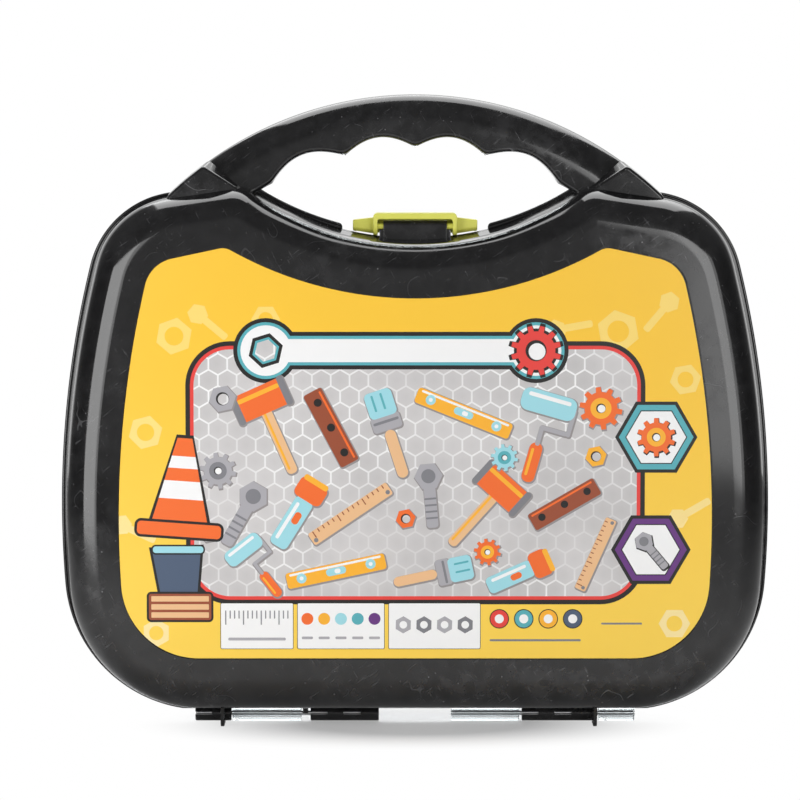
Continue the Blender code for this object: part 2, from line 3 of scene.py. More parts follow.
import bmesh
import bpy
from mathutils import Matrix, Vector
from mathutils.geometry import delaunay_2d_cdt


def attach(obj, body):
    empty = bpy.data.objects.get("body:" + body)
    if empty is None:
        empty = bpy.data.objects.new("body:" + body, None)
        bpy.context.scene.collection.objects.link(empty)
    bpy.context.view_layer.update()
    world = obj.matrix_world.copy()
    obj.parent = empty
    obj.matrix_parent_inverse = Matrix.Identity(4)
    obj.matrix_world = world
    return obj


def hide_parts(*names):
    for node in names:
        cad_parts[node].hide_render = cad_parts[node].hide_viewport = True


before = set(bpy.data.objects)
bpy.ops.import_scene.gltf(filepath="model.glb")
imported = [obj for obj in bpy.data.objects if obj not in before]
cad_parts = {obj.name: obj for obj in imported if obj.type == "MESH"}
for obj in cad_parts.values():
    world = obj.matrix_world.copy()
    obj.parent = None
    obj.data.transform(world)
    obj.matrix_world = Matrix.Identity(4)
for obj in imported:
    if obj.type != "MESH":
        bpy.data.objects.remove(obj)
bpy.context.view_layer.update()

# Sizes in metres. The parting plane is y = 0, the label faces -Y.

case = {
    "halfWidth": 0.1502, "halfDepth": 0.035, "bottom": 0.0052, "trim": 0.0060, "saddle": 0.2090,
    "gap": 0.0003, "over": 0.002, "under": 0.0001,
}
shellSection = {
    "wall": 0.0020, "overhang": 0.00345, "flange": 0.0028, "rimRound": 0.0007, "rimFall": 0.0004,
    "draft": 0.0006, "fillet": 0.0134, "filletDepth": 0.0144, "rootRound": 0.0014, "support": 0.0004,
    "edge": 0.0002, "recess": 0.0009, "bead": 0.00018,
}
topWall = {
    "start": 0.020, "run": 0.014, "lift": 0.0009, "shoulderLift": 0.0011, "filletLift": 0.0004,
    "filletShare": 0.65, "cornerLift": 0.0008, "filletMore": 0.0022, "middleShare": 0.35,
}
fineSteps = {"corner": 30, "side": 30, "top": 26, "peak": 16, "saddle": 44, "fillet": 14, "small": 4}
coarseSteps = {"corner": 18, "side": 14, "top": 14, "peak": 8, "saddle": 20, "fillet": 8, "small": 2}

caseEdge = {
    "halfWidth": case["halfWidth"], "bottom": case["bottom"],
    "waist": case["saddle"] * 0.44, "saddle": case["saddle"],
    "sideRadius": 0.425, "bottomRadius": 0.059, "topRadius": 0.041, "peakRadius": 0.018,
    "slope": radians(8.7), "saddleRadius": 0.125, "saddleAngle": radians(31.6),
}
labelEdge = {
    "halfWidth": case["halfWidth"] - 0.0269, "bottom": 0.0324,
    "waist": case["saddle"] * 0.428, "saddle": 0.1826,
    "sideRadius": 0.431, "bottomRadius": 0.0323, "topRadius": 0.0145, "peakRadius": 0.007,
    "slope": radians(12), "saddleRadius": 0.1565, "saddleAngle": radians(29.2),
}


def edgeArcs(edge, steps):
    # centre, radius, first and last angle, steps, and -1 on the hollow saddle
    side = Vector((edge["halfWidth"] - edge["sideRadius"], edge["waist"]))
    sideRadius, bottomRadius = edge["sideRadius"], edge["bottomRadius"]
    rise = edge["bottom"] + bottomRadius - side.y
    bottom = Vector((side.x + sqrt((sideRadius - bottomRadius) ** 2 - rise ** 2), side.y + rise))
    angle, saddleRadius, peakRadius = edge["saddleAngle"], edge["saddleRadius"], edge["peakRadius"]
    saddle = Vector((0, edge["saddle"] + saddleRadius))
    peak = saddle + (saddleRadius + peakRadius) * Vector((sin(angle), -cos(angle)))
    slope, topRadius = edge["slope"], edge["topRadius"]
    start = peak + (peakRadius - topRadius) * Vector((sin(slope), cos(slope))) - side
    ahead = Vector((cos(slope), -sin(slope)))
    half = start.dot(ahead)
    reach = sqrt(half ** 2 - start.length_squared + (sideRadius - topRadius) ** 2) - half
    top = side + start + reach * ahead
    low = atan2(bottom.y - side.y, bottom.x - side.x)
    high = atan2(top.y - side.y, top.x - side.x)
    shoulder = pi / 2 - slope
    return [
        (bottom, bottomRadius, -pi / 2, low, steps["corner"], 1),
        (side, sideRadius, low, high, steps["side"], 1),
        (top, topRadius, high, shoulder, steps["top"], 1),
        (peak, peakRadius, shoulder, pi / 2 + angle, steps["peak"], 1),
        (saddle, saddleRadius, angle - pi / 2, -pi / 2, steps["saddle"], -1),
    ]


def outline(edge, steps, grow=0.0):
    half = []
    for centre, radius, first, last, count, side in edgeArcs(edge, steps):
        for i in range(count + 1):
            angle = first + (last - first) * i / count
            point = centre + (radius + side * grow) * Vector((cos(angle), sin(angle)))
            if not half or (point - half[-1]).length > 0.000002:
                half.append(point)
    right = [(p.x, p.y) for p in half]
    return right + [(-x, z) for x, z in reversed(right) if x > 0.00003]


def saddleHeight(x, grow=0.0):
    centre, radius = edgeArcs(caseEdge, fineSteps)[4][:2]
    return centre.y - sqrt((radius - grow) ** 2 - x ** 2)


def heel():
    centre, radius, first, shoulder = edgeArcs(caseEdge, fineSteps)[2][:4]
    return centre + radius * Vector((cos(shoulder), sin(shoulder)))


def shoulderHeight(x, grow=0.0):
    peak, radius = edgeArcs(caseEdge, fineSteps)[3][:2]
    slope = caseEdge["slope"]
    foot = peak + (radius + grow) * Vector((sin(slope), cos(slope)))
    return foot.y - (abs(x) - foot.x) * sin(slope) / cos(slope)


def quarter(steps):
    return [pi / 2 * i / steps for i in range(steps + 1)]


# Modelling helpers

def clearSelection():
    if bpy.context.mode != "OBJECT":
        bpy.ops.object.mode_set(mode="OBJECT")
    bpy.ops.object.select_all(action="DESELECT")


def pick(*things):
    clearSelection()
    for thing in things:
        thing.select_set(True)
    bpy.context.view_layer.objects.active = things[0]
    return things[0]


def ringPiece(name, rings, closed=False):
    # a circle laid on the first ring, extruded from ring to ring, and closed by caps or by a last turn
    clearSelection()
    if closed:
        rings = rings + rings[:1]
    bpy.ops.mesh.primitive_circle_add(vertices=len(rings[0]), radius=0.05)
    piece = bpy.context.object
    piece.name = piece.data.name = name
    bpy.ops.object.mode_set(mode="EDIT")
    shape = bmesh.from_edit_mesh(piece.data)
    place = shape.verts.layers.int.new("place")
    for i, vert in enumerate(shape.verts):
        vert[place] = i
        vert.co = rings[0][i]
    for number, ring in enumerate(rings[1:], 1):
        bpy.ops.mesh.extrude_region_move(TRANSFORM_OT_translate={"value": (0, 0, 0)})
        shape = bmesh.from_edit_mesh(piece.data)
        place = shape.verts.layers.int["place"]
        for vert in shape.verts:
            if vert.select:
                vert.co = ring[vert[place] % len(ring)]
                vert[place] = vert[place] % len(ring) + number * len(ring)
    for end in () if closed else (0, len(rings) - 1):
        shape = bmesh.from_edit_mesh(piece.data)
        place = shape.verts.layers.int["place"]
        bpy.ops.mesh.select_all(action="DESELECT")
        for edge in shape.edges:
            edge.select = {vert[place] // len(rings[0]) for vert in edge.verts} == {end}
        bmesh.update_edit_mesh(piece.data)
        bpy.ops.mesh.edge_face_add()
    shape = bmesh.from_edit_mesh(piece.data)
    shape.verts.layers.int.remove(shape.verts.layers.int["place"])
    bpy.ops.mesh.select_all(action="SELECT")
    if closed:
        bpy.ops.mesh.remove_doubles(threshold=0.000001)
    bpy.ops.mesh.normals_make_consistent(inside=False)
    bpy.ops.object.mode_set(mode="OBJECT")
    return piece


def slab(name, points, front, back):
    return ringPiece(name, [[(x, y, z) for x, z in points] for y in (front, back)])


def rod(name, points, left, right):
    return ringPiece(name, [[(x, y, z) for y, z in points] for x in (left, right)])


def block(name, low, high):
    (x0, y0, z0), (x1, y1, z1) = low, high
    return rod(name, [(y0, z0), (y1, z0), (y1, z1), (y0, z1)], x0, x1)


def circle(x, y, r, sides=28, turn=0.0):
    angles = [2 * pi * i / sides + turn for i in range(sides)]
    return [(x + r * cos(angle), y + r * sin(angle)) for angle in angles]


def change(piece, kind, **values):
    pick(piece)
    bpy.ops.object.modifier_add(type=kind)
    modifier = piece.modifiers[-1]
    for key, value in values.items():
        setattr(modifier, key, value)
    bpy.ops.object.modifier_apply(modifier=modifier.name)
    return piece


def softEdges(piece, width, segments=2, angle=40):
    limit = {"limit_method": "ANGLE", "angle_limit": radians(angle)}
    return change(piece, "BEVEL", width=width, segments=segments, **limit)


def combine(piece, tool, operation):
    change(piece, "BOOLEAN", operation=operation, solver="EXACT", object=tool)
    bpy.data.objects.remove(tool)
    return piece


def gather(pieces):
    first = pick(*pieces)
    bpy.ops.object.join()
    return first


def smooth(piece, angle=35):
    # large faces keep their own direction, so the flats stay flat beside their rounds
    pick(piece)
    bpy.ops.object.shade_smooth_by_angle(angle=radians(angle))
    return change(piece, "WEIGHTED_NORMAL", keep_sharp=True)


# Shells

def ease(value, low, high):
    share = min(1, max(0, (value - low) / (high - low)))
    return share * share * (3 - 2 * share)


def topShare(z):
    start = caseEdge["saddle"] - topWall["start"]
    return ease(z, start, start + topWall["run"])


def topLifts(x):
    # at the wall's root, and where its fillet starts
    t = topWall
    more = t["shoulderLift"] * ease(abs(x), 0.032, 0.055)
    corner = t["cornerLift"] * ease(abs(x), 0.055, 0.085)
    return t["lift"] + more, t["filletLift"] + more * t["filletShare"] + corner


def lifted(ring, inset):
    # the tray's top wall slopes more than its sides and stands higher at its root, and its fillet goes deeper
    s, t = shellSection, topWall
    flange, deep = s["flange"], case["halfDepth"] - s["filletDepth"]
    share = min(1, max(0, (inset - 2 * s["rimRound"]) / (s["overhang"] - 2 * s["rimRound"])))
    points = []
    for x, y, z in ring:
        up = share * topShare(z)
        root, bend = topLifts(x)
        more = t["filletMore"] * up * (t["middleShare"] + (1 - t["middleShare"]) * ease(abs(x), 0.02, 0.06))
        if -y < deep:
            place = max(0, (-y - flange) / (deep - flange))
            rise = root + (bend - root) * place
            deeper = -y - more * place
        else:
            place = (-y - deep) / s["filletDepth"]
            rise = bend * sqrt(max(0, 1 - place ** 2))
            deeper = -y - more * (1 - place)
        points.append((x, -deeper, z + rise * up))
    return points


def shellTray(steps, withRecess):
    s, part = shellSection, case["gap"] / 2
    root, brow = s["overhang"], s["overhang"] + s["draft"]
    deep, full = case["halfDepth"] - s["filletDepth"], case["halfDepth"]
    flange, r, e, edge = s["flange"], s["rootRound"], s["rimRound"], s["edge"]
    face = flange - s["rimFall"]
    turns = quarter(steps["fillet"])
    small = quarter(steps["small"])
    bend, bendDepth = s["fillet"] - s["wall"], s["filletDepth"] - s["wall"]

    section = [(brow + s["fillet"] + s["support"], full)]
    section += [(brow + s["fillet"] * (1 - cos(a)), deep + s["filletDepth"] * sin(a)) for a in reversed(turns)]
    section += [(brow - s["draft"] / 30, deep - s["support"] * 2)]
    section += [(root - r + r * cos(a), face + r - r * sin(a)) for a in small]
    start = atan2(e - s["rimFall"], sqrt(e ** 2 - (e - s["rimFall"]) ** 2))
    rim = [start + (pi - start) * i / (2 * steps["small"] + 1) for i in range(2 * steps["small"] + 2)]
    section += [(e + e * cos(a), flange - e + e * sin(a)) for a in rim]
    section += [(0, part + edge), (edge, part), (root + s["wall"] - edge, part)]
    section += [(root + s["wall"], part + edge)]
    section += [(brow + s["wall"] + bend * (1 - cos(a)), deep + bendDepth * sin(a)) for a in turns]
    section += [(brow + s["wall"] + bend + s["support"], full - s["wall"])]
    rings = [lifted([(x, -y, z) for x, z in outline(caseEdge, steps, -inset)], inset) for inset, y in section]
    if withRecess:
        floor, bead, gap = full - s["recess"], s["bead"], case["gap"]
        field = [(gap, floor), (gap, full - bead)]
        field += [(gap + bead * (1 - cos(a)), full - bead + bead * sin(a)) for a in small[1:]]
        field += [(gap + bead + s["support"], full)]
        rings = [[(x, -y, z) for x, z in outline(labelEdge, steps, grow)] for grow, y in field] + rings
    return ringPiece("tray", rings)


def coreCutter(steps):
    inset = shellSection["overhang"] + shellSection["wall"] / 2
    points = [(x, z + topLifts(x)[1] * topShare(z)) for x, z in outline(caseEdge, steps, -inset)]
    return slab("core", points, -case["halfDepth"] - case["over"], case["over"])


lip = {"gap": 0.0615, "bead": 0.0003, "round": 0.0014, "top": 0.24, "steps": 24}


def lipCutter():
    half = lip["gap"] / 2
    floor = lip["bead"] + topWall["lift"] - shellSection["overhang"]
    across = [half * (i / lip["steps"] * 2 - 1) for i in range(lip["steps"] + 1)]
    bottom = [(x, saddleHeight(x, floor)) for x in across]
    ends = []
    for turn in quarter(5):
        out, down = lip["round"] * (1 - cos(turn)), lip["round"] * (1 - sin(turn))
        ends.append((half + out, saddleHeight(half + out) - down))
    right = ends + [(ends[-1][0], lip["top"])]
    left = [(-x, z) for x, z in reversed(right)]
    return slab("lip gap", bottom + right + left, -shellSection["flange"] - case["over"], case["over"])


# Handle

handle = {
    "top": 0.2672, "sink": 0.00074, "halfDepth": 0.0125, "crown": 0.0003, "crest": 0.0146,
    "round": 0.0118, "gripEdge": 0.0020, "fall": 0.07, "thickness": 0.0222, "wall": 0.0020,
    "pitches": (0.0298, 0.0333), "depths": (0.0050, 0.0056), "gussetDepth": 0.0220,
    "gussetTop": 0.0113, "gussetFoot": 0.0020, "gussetEdge": 0.0013, "rake": 0.0022, "skin": 0.0028,
}


def handleArch():
    drop = handle["top"] - heel().y + handle["sink"]
    radius = (heel().x ** 2 + drop ** 2) / (2 * drop)
    return handle["top"] - radius, radius


hub, arch = handleArch()


def ray(angle, inwards=0.0):
    return Vector(((arch - inwards) * sin(angle), hub + (arch - inwards) * cos(angle)))


def gripSection(thickness, fine):
    # a long round from the arch to the crest, a slight fall to the fingers, and a small round
    h, part = handle, case["gap"] / 2
    front, crest, deep, low = h["halfDepth"] + h["crown"], h["crest"], h["round"], h["gripEdge"]
    steps = 12 if fine else 5
    points = [(0, part)]
    points += [(crest * (1 - cos(a)), front - deep * (1 - sin(a))) for a in quarter(steps)]
    end = thickness - low
    for i in range(1, 6):
        share = i / 6
        points.append((crest + (end - crest) * share, front - h["fall"] * (end - crest) * share ** 1.3))
    edge = front - h["fall"] * (end - crest)
    points += [(thickness - low * (1 - sin(a)), edge - low * (1 - cos(a))) for a in quarter(steps // 2)]
    wall = h["wall"]
    points += [(thickness, part), (thickness - wall, part)]
    points += [(thickness - wall, edge - low - wall / 2), (end - wall / 2, edge - wall)]
    inside = [(crest - (crest - wall) * cos(a), front - deep + (deep - wall) * sin(a)) for a in quarter(4)]
    return points + inside[::-1] + [(wall, part)]


def handleBar(fine):
    gripRadius = arch - handle["thickness"]
    fingerSteps, rootSteps = (26, 16) if fine else (12, 8)
    stations, start = [(0, handle["thickness"])], 0
    for pitch, depth in zip(handle["pitches"], handle["depths"]):
        for i in range(1, fingerSteps + 1):
            share = i / fingerSteps
            stations.append(((start + share * pitch) / gripRadius, handle["thickness"] - depth * sin(pi * share)))
        start += pitch
    last, root = start / gripRadius, atan2(heel().x, heel().y - hub)
    for i in range(1, rootSteps + 1):
        stations.append((last + (root - last) * i / rootSteps, handle["thickness"]))
    stations = [(-angle, size) for angle, size in reversed(stations[1:])] + stations
    soft = []
    for i, (angle, size) in enumerate(stations):  # rounds the tips between the fingers
        near = [stations[max(0, min(len(stations) - 1, i + j))][1] for j in (-2, -1, 0, 1, 2)]
        soft.append((angle, (near[0] + 2 * near[1] + 3 * near[2] + 2 * near[3] + near[4]) / 9))
    rings = []
    for angle, size in soft if fine else stations:
        places = [(ray(angle, inwards), y) for inwards, y in gripSection(size, fine)]
        rings.append([(point.x, -y, point.y) for point, y in places])
    return ringPiece("handle", rings)


def gussetProfile(rake):
    peak, end = edgeArcs(caseEdge, fineSteps)[3][0], heel()
    foot = peak.x - handle["gussetFoot"]
    toe = Vector((foot + rake / 2, shoulderHeight(foot, topWall["lift"] - shellSection["overhang"])))
    head = peak.x + handle["gussetTop"] + rake
    drop = Vector((0, shellSection["fillet"]))
    run = []
    for i in range(9):
        x = head + (end.x - head) * (1 - i / 8)
        run.append(Vector((x, hub + sqrt(arch ** 2 - x ** 2) - rake / 2)))
    return [toe, toe - drop, end - drop] + run


def shrink(points, inset):
    sides = [(p, q - p) for p, q in zip(points, points[1:] + points[:1])]
    lines = [(p + inset * Vector((-u.y, u.x)).normalized(), u) for p, u in sides]
    corners = []
    for (p, u), (q, v) in zip(lines[-1:] + lines[:-1], lines):
        reach = ((q.x - p.x) * v.y - (q.y - p.y) * v.x) / (u.x * v.y - u.y * v.x)
        corners.append(p + reach * u)
    return corners


def gusset(side):
    depths = ((handle["halfDepth"] - handle["wall"], 0), (handle["gussetDepth"], handle["rake"]))
    piece = ringPiece("gusset", [[(side * p.x, -y, p.y) for p in gussetProfile(rake)] for y, rake in depths])
    return softEdges(piece, handle["gussetEdge"], 4)


def gussetPocket(side):
    points = [(side * p.x, p.y) for p in shrink(gussetProfile(handle["rake"]), handle["skin"])]
    back = -handle["halfDepth"] + 2 * handle["wall"]
    return slab("pocket", points, -handle["gussetDepth"] + handle["wall"], back)


# Latch block, hinges and feet

latchSizes = {
    "axisY": 0.0055, "axis": 0.2117, "stub": 0.0012, "clear": 0.0007, "edge": 0.0003,
    "block": 0.0268, "round": 0.0023, "lug": 0.0016, "lugBelow": 0.0014, "inBlock": 0.0025, "blockEdge": 0.00035,
    "band": 0.0026, "inBand": 0.0008, "corner": 0.0018, "chamfer": 0.0006, "hook": 0.0016, "hookBelow": 0.0031,
    "postGap": 0.0024, "post": 0.0019, "postBelow": 0.0038, "inPost": 0.0005,
    "wing": 0.0086, "wingDepth": 0.0037, "wingCut": 0.0015, "wingWall": 0.0014, "wingEdge": 0.0005,
    "rootTop": 0.0038, "rootBottom": -0.0034, "tipTop": 0.0027, "tipBottom": -0.0019,
}
hinge = {
    "axis": 0.0037, "radius": 0.0034, "bore": 0.0015, "reach": 0.0938, "edge": 0.0003,
    "outer": 0.0154, "middle": 0.0323, "inner": 0.0292, "space": 0.0005, "innerSpace": 0.0010,
    "pin": 0.0012, "pinInset": 0.0004, "pinEdge": 0.00025,
    "keeper": 0.0023, "keeperRadius": 0.0022, "keeperSpace": 0.0006,
    "window": 0.0072, "windowHigh": 0.0013, "windowStep": 0.0143, "windowLift": 0.0003,
}
feet = {
    "thick": 0.0015, "reach": 0.0160, "root": 0.0035, "neck": 0.0028, "round": 0.0030, "edge": 0.0002,
    "outer": 0.0122, "middle": 0.0016, "hold": 0.85,
}


def latchBlock():
    s, part = latchSizes, case["gap"] / 2
    base = saddleHeight(0, -shellSection["overhang"]) - shellSection["wall"] / 2
    front = -s["axisY"]
    points = [(-part, base), (front - s["round"], base)]
    points += [(front - s["round"] * cos(a), s["axis"] + s["round"] * sin(a)) for a in quarter(10)]
    points += [(-part, s["axis"] + s["round"])]
    body = softEdges(rod("block", points, -s["block"] / 2, s["block"] / 2), s["blockEdge"], 3)
    wide, high = s["block"] / 2 + s["lug"], s["axis"] - s["lugBelow"]
    lug = softEdges(block("lug", (-wide, front - s["round"] * 0.7, base), (wide, -part, high)), s["edge"])
    return combine(body, lug, "UNION")


def knuckleSpans(isFront):
    h = hinge
    middleEnd = h["reach"] - h["outer"] - h["space"]
    innerStart = middleEnd - h["middle"] - h["innerSpace"]
    middle = middleEnd - h["middle"] + (0 if isFront else h["keeper"] + h["keeperSpace"])
    return [(-h["reach"], h["outer"] - h["reach"]), (-innerStart, h["inner"] - innerStart), (middle, middleEnd)]


def windowStarts(start, end):
    count = int((end - start - hinge["window"]) / hinge["windowStep"]) + 1
    return [start + i * hinge["windowStep"] for i in range(count)]


def notchSpans(isFront):
    (outer, outerEnd), (inner, innerEnd), (middle, middleEnd) = knuckleSpans(isFront)
    return [(outerEnd, inner), (-innerEnd - hinge["space"], middle), (middleEnd, -outer + case["gap"])]


def knuckle(start, end):
    h, e = hinge, hinge["edge"]
    path = [(start + e, h["radius"]), (start, h["radius"] - e), (start, h["bore"])]
    path += [(end, h["bore"]), (end, h["radius"] - e), (end - e, h["radius"])]
    rings = [[(x, y, z) for y, z in circle(0, h["axis"], radius, 32)] for x, radius in path]
    piece = ringPiece("knuckle", rings, closed=True)
    low = h["axis"] + h["windowLift"] - h["windowHigh"] / 2
    cutters = []
    for place in windowStarts(start, end):
        corner = (place + h["window"], 0, low + h["windowHigh"])
        cutters.append(block("window", (place - case["gap"], -h["radius"] - case["over"], low), corner))
    return combine(piece, gather(cutters), "DIFFERENCE")


def keeper():
    h = hinge
    end = -knuckleSpans(True)[2][0]
    part, top = case["gap"] / 2, h["axis"] + h["radius"] + case["gap"] + shellSection["wall"] / 2
    points = [(-part, h["axis"]), (-h["keeperRadius"] - part, h["axis"])]
    points += [(-shellSection["flange"], top), (-part, top)]
    return softEdges(rod("keeper", points, end - h["keeper"], end), shellSection["edge"])


def foot(x):
    f, h = feet, hinge
    top = case["bottom"] + shellSection["overhang"] + shellSection["wall"] / 2
    toe = [(-f["reach"] + f["round"] * (1 - sin(a)), f["round"] * (1 - cos(a))) for a in quarter(6)]
    hold, high, low = -h["radius"] * f["hold"], h["axis"] + f["neck"] / 2, h["axis"] - f["neck"] / 2
    points = [(-f["root"], 0)] + toe + [(-f["reach"], top), (-f["root"], top)]
    points += [(-f["root"], high), (hold, high), (hold, low), (-f["root"], low)]
    return softEdges(rod("foot", points, x - f["thick"] / 2, x + f["thick"] / 2), f["edge"])


def caseHalf(name, isFront):
    steps = fineSteps if isFront else coarseSteps
    tray = shellTray(steps, isFront)
    combine(tray, lipCutter(), "DIFFERENCE")
    over, flange = case["over"], shellSection["flange"]
    wide = case["halfWidth"] * 2
    cutters = [block("trim", (-wide, -flange - over, 0), (wide, over, case["trim"]))]
    for start, end in notchSpans(isFront):
        top = hinge["axis"] + hinge["radius"] + case["gap"]
        cutters.append(block("notch", (start, -flange - over, case["trim"] - case["under"]), (end, over, top)))
    for cutter in cutters:
        combine(tray, cutter, "DIFFERENCE")

    bar = handleBar(isFront)
    for side in (-1, 1):
        combine(bar, gusset(side), "UNION")
    for side in (-1, 1):
        combine(bar, gussetPocket(side), "DIFFERENCE")
    combine(bar, coreCutter(steps), "DIFFERENCE")

    knuckles = [knuckle(start, end) for start, end in knuckleSpans(isFront)]
    outer, inner, middle = knuckleSpans(True)
    stands = [foot(outer[0] + feet["outer"]), foot(middle[1] - feet["middle"])]
    if isFront:
        stands.append(keeper())
    parts = [tray, bar, latchBlock()] + knuckles + stands
    if isFront:
        half = gather(parts)
    else:
        half = tray
        for part in parts[1:]:
            combine(half, part, "UNION")
    half.name = half.data.name = name
    print(name, "modelled,", len(half.data.polygons), "faces")
    return smooth(half)


def isWhole(piece):
    shape = bmesh.new()
    shape.from_mesh(piece.data)
    whole = all(edge.is_manifold for edge in shape.edges)
    shape.free()
    return whole


def wholeHalf(name, isFront):
    # now and then the solver leaves a seam open, so such a half is made again
    half = caseHalf(name, isFront)
    for attempt in range(3):
        if not isWhole(half):
            bpy.data.meshes.remove(half.data)
            half = caseHalf(name, isFront)
    return half


frontHalf = wholeHalf("blackHalf", True)
rearHalf = wholeHalf("clearHalf", False)
rearHalf.data.transform(Matrix.Rotation(pi, 4, "Z"))


# Latch: a band over both blocks, two posts with stubs, a hook behind and two hollow wings

def wing(side):
    s = latchSizes
    root = s["block"] / 2 + s["postGap"] + s["post"] / 2
    tip = s["block"] / 2 + s["postGap"] + s["post"] + s["wing"]

    def tab(inner, outer, drop, sag, wall):
        deep = s["wingDepth"] - wall
        rings = []
        for x, top, bottom in ((inner, s["rootTop"], s["rootBottom"]), (outer, s["tipTop"], s["tipBottom"])):
            low, high = s["axis"] + bottom - sag, s["axis"] + top - drop
            cut = s["wingCut"]
            under = [(-deep, low + cut), (cut - deep, low), (deep - cut, low), (deep, low + cut)]
            rings.append([(side * x, y, z) for y, z in under + [(deep, high), (-deep, high)]])
        return ringPiece("wing", rings)

    outside = softEdges(tab(root, tip, 0, 0, 0), s["wingEdge"], 3)
    hollow = tab(root + s["post"] / 2, tip - s["wingWall"], s["wingWall"], case["over"], s["wingWall"])
    return combine(outside, hollow, "DIFFERENCE")


def latchPiece():
    s = latchSizes
    inner = s["block"] / 2 + s["postGap"]
    outer = inner + s["post"]
    roof = s["axis"] + s["round"] + s["clear"]
    top = roof + s["band"]
    hook = s["axisY"] + s["round"] + s["clear"]
    front, back = -hook, hook + s["hook"]
    bottom = s["axis"] - s["postBelow"]
    r, cut, over = s["corner"], s["chamfer"], case["over"]
    corner = [(outer - r + r * cos(a), top - r + r * sin(a)) for a in quarter(5)]
    right = [(inner, bottom), (outer, bottom)] + corner
    left = [(-x, z) for x, z in reversed(right)]
    inside = [(-inner, roof - cut), (-inner + cut, roof), (inner - cut, roof), (inner, roof - cut)]
    frameRing = slab("latch", right + left + inside, front, back)
    noseTool = []
    for a in quarter(8):
        noseTool.append((-s["axisY"] + (front + s["axisY"]) * sin(a), s["axis"] - s["postBelow"] * cos(a)))
    noseTool += [(front - over, s["axis"]), (front - over, bottom - over), (-s["axisY"], bottom - over)]
    combine(frameRing, rod("nose", noseTool, -s["block"], s["block"]), "DIFFERENCE")
    softEdges(frameRing, s["edge"] * 1.5, 3, 35)
    low, wide, high = s["axis"] - s["hookBelow"], inner + s["inPost"], roof + s["inBand"]
    parts = [frameRing, softEdges(block("hook", (-wide, hook, low), (wide, back, high)), s["edge"])]
    for side in (-1, 1):
        tip = side * (s["block"] / 2 - s["inBlock"])
        ends = sorted((tip, side * (inner + s["post"] / 2)))
        parts.append(rod("stub", circle(-s["axisY"], s["axis"], s["stub"], 24), *ends))
        parts.append(wing(side))
    latch = gather(parts)
    latch.name = latch.data.name = "limeLatch"
    return smooth(latch, 40)


latch = latchPiece()
print("latch modelled,", len(latch.data.polygons), "faces")


def pinPiece(name, side):
    inner = min(abs(x) for span in knuckleSpans(True) for x in span) + hinge["pinInset"]
    ends = sorted((side * (hinge["reach"] - hinge["pinInset"]), side * inner))
    piece = rod(name, circle(0, hinge["axis"], hinge["pin"], 40), *ends)
    return smooth(softEdges(piece, hinge["pinEdge"], 3))


pins = [pinPiece("leftPin", -1), pinPiece("rightPin", 1)]
print("pins modelled")


# Label: one flat sheet, cut along every printed shape. Millimetres from the label's middle.

sheet = {"front": -0.035 + 0.0002, "thick": 0.0004, "middle": 0.105, "merge": 0.003}
inks = {
    "yellow": (1.0, 0.60, 0.045), "ghost": (1.0, 0.72, 0.20), "black": (0.012, 0.011, 0.010),
    "red": (0.82, 0.055, 0.045), "grey": (0.56, 0.54, 0.54), "white": (0.94, 0.94, 0.94),
    "orange": (0.93, 0.16, 0.025), "amber": (1.0, 0.47, 0.03), "teal": (0.10, 0.44, 0.50),
    "sky": (0.36, 0.72, 0.80), "steel": (0.42, 0.41, 0.44), "iron": (0.22, 0.22, 0.24),
    "wood": (0.86, 0.52, 0.27), "brown": (0.33, 0.075, 0.03), "purple": (0.14, 0.035, 0.22),
    "slate": (0.075, 0.11, 0.18), "shade": (0.30, 0.28, 0.28),
}
shapes = []


def lay(points, ink):
    shapes.append((points, ink))


def spin(points, x, y, degrees, size=1.0):
    c, s = cos(radians(degrees)), sin(radians(degrees))
    return [(x + size * (c * u - s * v), y + size * (s * u + c * v)) for u, v in points]


def box(x, y, wide, high, r, grow=0.0):
    points = []
    w, h, r = wide / 2 + grow, high / 2 + grow, r + grow
    for cx, cy, start in ((w - r, h - r, 0), (r - w, h - r, 1), (r - w, r - h, 2), (w - r, r - h, 3)):
        count = 6 if r < 4 else 14
        for i in range(count + 1):
            a = pi / 2 * (start + i / count)
            points.append((x + cx + r * cos(a), y + cy + r * sin(a)))
    return points


def cog(x, y, r, teeth, tooth):
    points = []
    for i in range(teeth):
        for share, reach in ((0.0, 0), (0.22, 0), (0.32, tooth), (0.68, tooth), (0.78, 0)):
            a = 2 * pi * (i + share) / teeth
            points.append((x + (r + reach) * cos(a), y + (r + reach) * sin(a)))
    return points


def grown(maker, values, grow):
    if maker is box:
        return box(*values, grow=grow)
    x, y, r, *rest = values
    return maker(x, y, r + grow, *rest)


def stack(maker, values, *layers):
    # the same shape several times over, each grown by its own amount
    for grow, ink in layers:
        lay(grown(maker, values, grow), ink)


def motif(parts, x, y, degrees, size=1.0, rim=0.45, rimInk="shade"):
    # a part is a maker, its values, an ink, and "rim" where a larger copy of it shows beneath
    for maker, values, ink, *rimmed in parts:
        if rimmed:
            lay(spin(grown(maker, values, rim / size), x + 0.25, y - 0.35, degrees, size), rimInk)
    for maker, values, ink, *rimmed in parts:
        lay(spin(maker(*values), x, y, degrees, size), ink)


def mallet():
    return [
        (box, (0, -4, 3.4, 24, 1.4), "wood", "rim"), (box, (-0.7, -4, 0.8, 21, 0.4), "amber"),
        (box, (0, 9.5, 17, 9, 1.8), "orange", "rim"), (box, (0, 11.8, 14.5, 1.4, 0.7), "amber"),
        (box, (-8.2, 9.5, 2.2, 10, 1), "iron", "rim"), (box, (8.2, 9.5, 2.2, 10, 1), "iron", "rim"),
    ]


